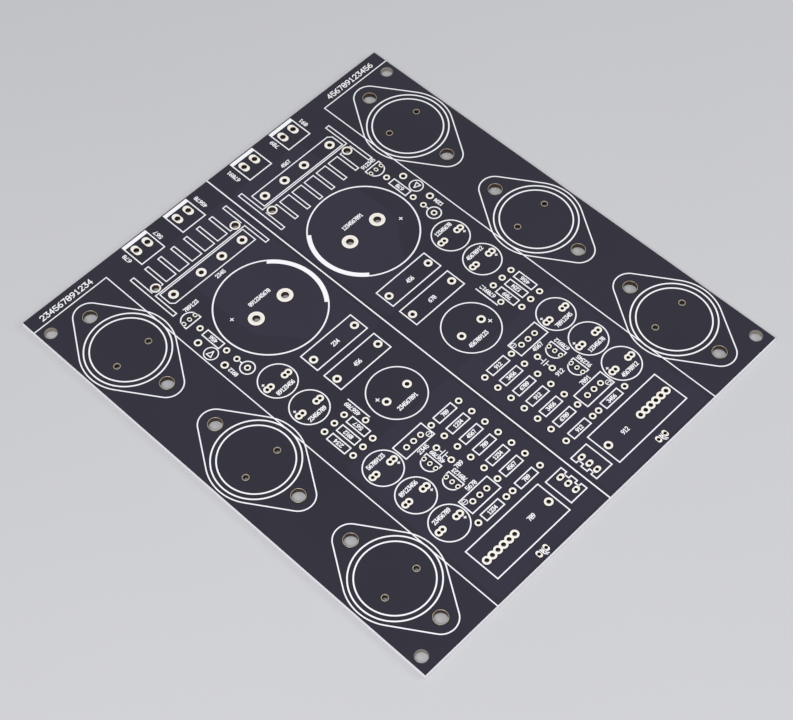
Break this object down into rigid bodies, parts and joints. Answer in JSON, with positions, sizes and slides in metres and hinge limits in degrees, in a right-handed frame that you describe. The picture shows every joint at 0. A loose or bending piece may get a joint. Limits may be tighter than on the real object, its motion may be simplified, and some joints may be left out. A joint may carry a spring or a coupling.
{
  "type": "amplifier circuit board",
  "caption": "Bare two-channel through-hole amplifier circuit board with drilled lead holes, plated lands, printed component outlines and corner screw holes.",
  "frame": {"origin": "middle of the underside", "axes": "+X along the terminal edge to the right channel, +Y towards the terminal edge, +Z out of the printed face"},
  "size_m": [0.132, 0.146, 0.0017],
  "materials": {
    "solder_mask": "black satin lacquer on glass-fibre laminate",
    "tinned_copper": "hot-tinned copper, satin",
    "white_ink": "matt white printing ink"
  },
  "bodies": {
    "root": {"board": "solder_mask", "reservoir_pads": "tinned_copper", "rectifier_pads": "tinned_copper", "heat_sink_pads": "tinned_copper", "terminal_pads": "tinned_copper", "transistor_legend": "white_ink", "division_legend": "white_ink", "terminal_legend": "white_ink", "rectifier_legend": "white_ink", "reservoir_legend": "white_ink", "film_legend": "white_ink"}
  },
  "joints": []
}
